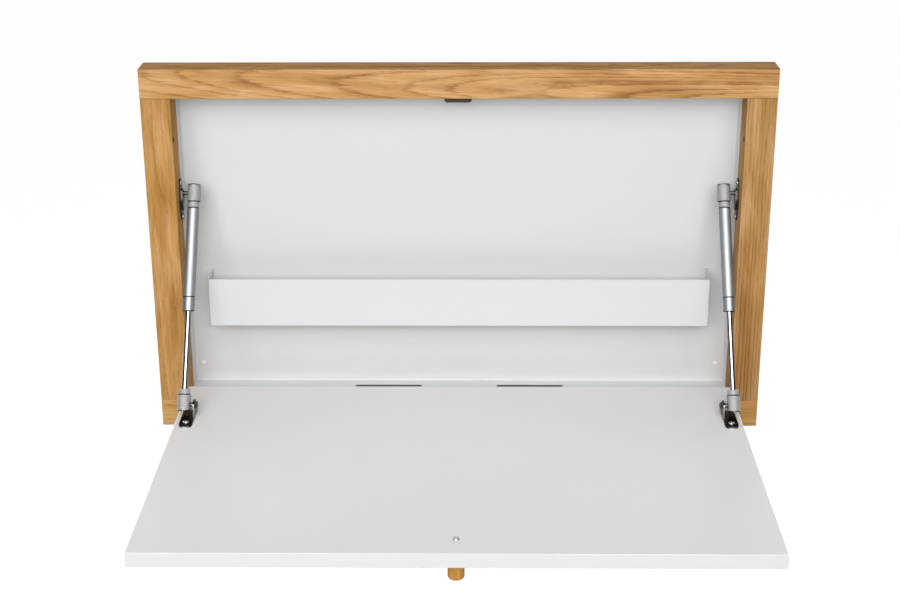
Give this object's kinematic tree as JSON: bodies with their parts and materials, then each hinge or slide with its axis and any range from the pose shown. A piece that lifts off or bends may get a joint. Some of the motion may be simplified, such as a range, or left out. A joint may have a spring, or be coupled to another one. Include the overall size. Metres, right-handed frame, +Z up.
{
  "type": "wall mounted drop leaf table",
  "caption": "Wall mounted drop leaf table: an oak frame round a folded sheet pan with a tray, and a board flap that hangs on butt hinges and telescopic stays.",
  "frame": {"origin": "centre of the wall face: the back pan's rear plane at the oak frame's mid width and mid height", "axes": "+X along the frame's width, +Y towards the wall, +Z up; the flap stands out towards -Y in use"},
  "size_m": [0.8, 0.4812, 0.494],
  "materials": {
    "oak": "oiled oak",
    "beech": "plain beech",
    "knob_oak": "oiled oak",
    "white_sheet": "satin white powder coat",
    "white_board": "satin white lacquer",
    "brown_moulding": "matt",
    "screw_zinc": "bright zinc plated",
    "hinge_steel": "zinc plated",
    "catch_brass": "satin",
    "ball_steel": "polished",
    "spring_steel": "bright wire",
    "dark_plate": "dark nickel plated steel",
    "cast_zinc": "satin",
    "tube_steel": "satin",
    "cap_steel": "satin",
    "piston_plastic": "matt",
    "chromed_rod": "polished"
  },
  "bodies": {
    "cabinet": {"top_rail": "oak", "bottom_rail": "oak", "left_post": "oak", "right_post": "oak", "frame_dowels": "beech", "back_pan": "white_sheet", "pan_screws": "screw_zinc", "tray": "white_sheet", "flap_stop": "brown_moulding", "flap_stop_screws": "screw_zinc", "left_hinge_frame_leaf": "hinge_steel", "middle_hinge_frame_leaf": "hinge_steel", "right_hinge_frame_leaf": "hinge_steel", "hinge_pins": "hinge_steel", "hinge_rail_screws": "screw_zinc", "left_catch_strike": "catch_brass", "right_catch_strike": "catch_brass", "left_upper_bracket": "dark_plate", "right_upper_bracket": "dark_plate", "left_upper_stud": "ball_steel", "right_upper_stud": "ball_steel", "upper_bracket_screws": "screw_zinc"},
    "flap": {"flap_panel": "white_board", "knob": "knob_oak", "knob_screw": "screw_zinc", "left_hinge_flap_leaf": "hinge_steel", "middle_hinge_flap_leaf": "hinge_steel", "right_hinge_flap_leaf": "hinge_steel", "hinge_flap_screws": "screw_zinc", "left_catch_housing": "catch_brass", "right_catch_housing": "catch_brass", "left_catch_spring": "spring_steel", "right_catch_spring": "spring_steel", "left_lower_stud": "ball_steel", "right_lower_stud": "ball_steel", "left_lower_bracket": "dark_plate", "right_lower_bracket": "dark_plate", "lower_bracket_screws": "screw_zinc", "lower_stud_nuts": "screw_zinc"},
    "left_rod": {"left_piston": "piston_plastic", "left_stay_rod": "chromed_rod", "left_lower_socket": "cast_zinc", "left_lower_clip": "spring_steel"},
    "right_rod": {"right_piston": "piston_plastic", "right_stay_rod": "chromed_rod", "right_lower_socket": "cast_zinc", "right_lower_clip": "spring_steel"},
    "left_cylinder": {"left_upper_ball": "ball_steel", "left_upper_socket": "cast_zinc", "left_upper_clip": "spring_steel", "left_stay_tube": "tube_steel", "left_tube_cap": "cap_steel"},
    "right_cylinder": {"right_upper_ball": "ball_steel", "right_upper_socket": "cast_zinc", "right_upper_clip": "spring_steel", "right_stay_tube": "tube_steel", "right_tube_cap": "cap_steel"},
    "left_catch_ball": {"left_catch_ball": "ball_steel"},
    "right_catch_ball": {"right_catch_ball": "ball_steel"}
  },
  "joints": [
    {"name": "flap_fold", "type": "hinge", "parent": "cabinet", "child": "flap", "pos_m": [0, -0.0662, -0.208], "axis": [-1, 0, 0], "range_deg": [0, 90]},
    {"name": "left_rod_swing", "type": "hinge", "parent": "flap", "child": "left_rod", "pos_m": [-0.3515, -0.1542, -0.171], "axis": [0.9978, 0.0415, -0.0517], "range_deg": [0, 117.47]},
    {"name": "left_cylinder_slide", "type": "slide", "parent": "left_rod", "child": "left_cylinder", "axis": [-0.0285, -0.4353, -0.8998], "range_m": [0, 0.07813]},
    {"name": "right_rod_swing", "type": "hinge", "parent": "flap", "child": "right_rod", "pos_m": [0.3515, -0.1542, -0.171], "axis": [0.9978, -0.0415, 0.0517], "range_deg": [0, 117.47]},
    {"name": "right_cylinder_slide", "type": "slide", "parent": "right_rod", "child": "right_cylinder", "axis": [0.0285, -0.4353, -0.8998], "range_m": [0, 0.07813]},
    {"name": "left_catch_press", "type": "slide", "parent": "flap", "child": "left_catch_ball", "axis": [1, 0, 0], "range_m": [0, 0.0019], "stiffness_N_per_m": 120, "springref_m": -0.001, "deforming": ["left_catch_spring"]},
    {"name": "right_catch_press", "type": "slide", "parent": "flap", "child": "right_catch_ball", "axis": [-1, 0, 0], "range_m": [0, 0.0019], "stiffness_N_per_m": 120, "springref_m": -0.001, "deforming": ["right_catch_spring"]}
  ],
  "couplings": [
    {"joint": "left_rod_swing", "follows": "flap_fold", "ratio": 1.3052},
    {"joint": "left_cylinder_slide", "follows": "flap_fold", "m_per_rad": 0.049742},
    {"joint": "right_rod_swing", "follows": "flap_fold", "ratio": 1.3052},
    {"joint": "right_cylinder_slide", "follows": "flap_fold", "m_per_rad": 0.049742}
  ]
}
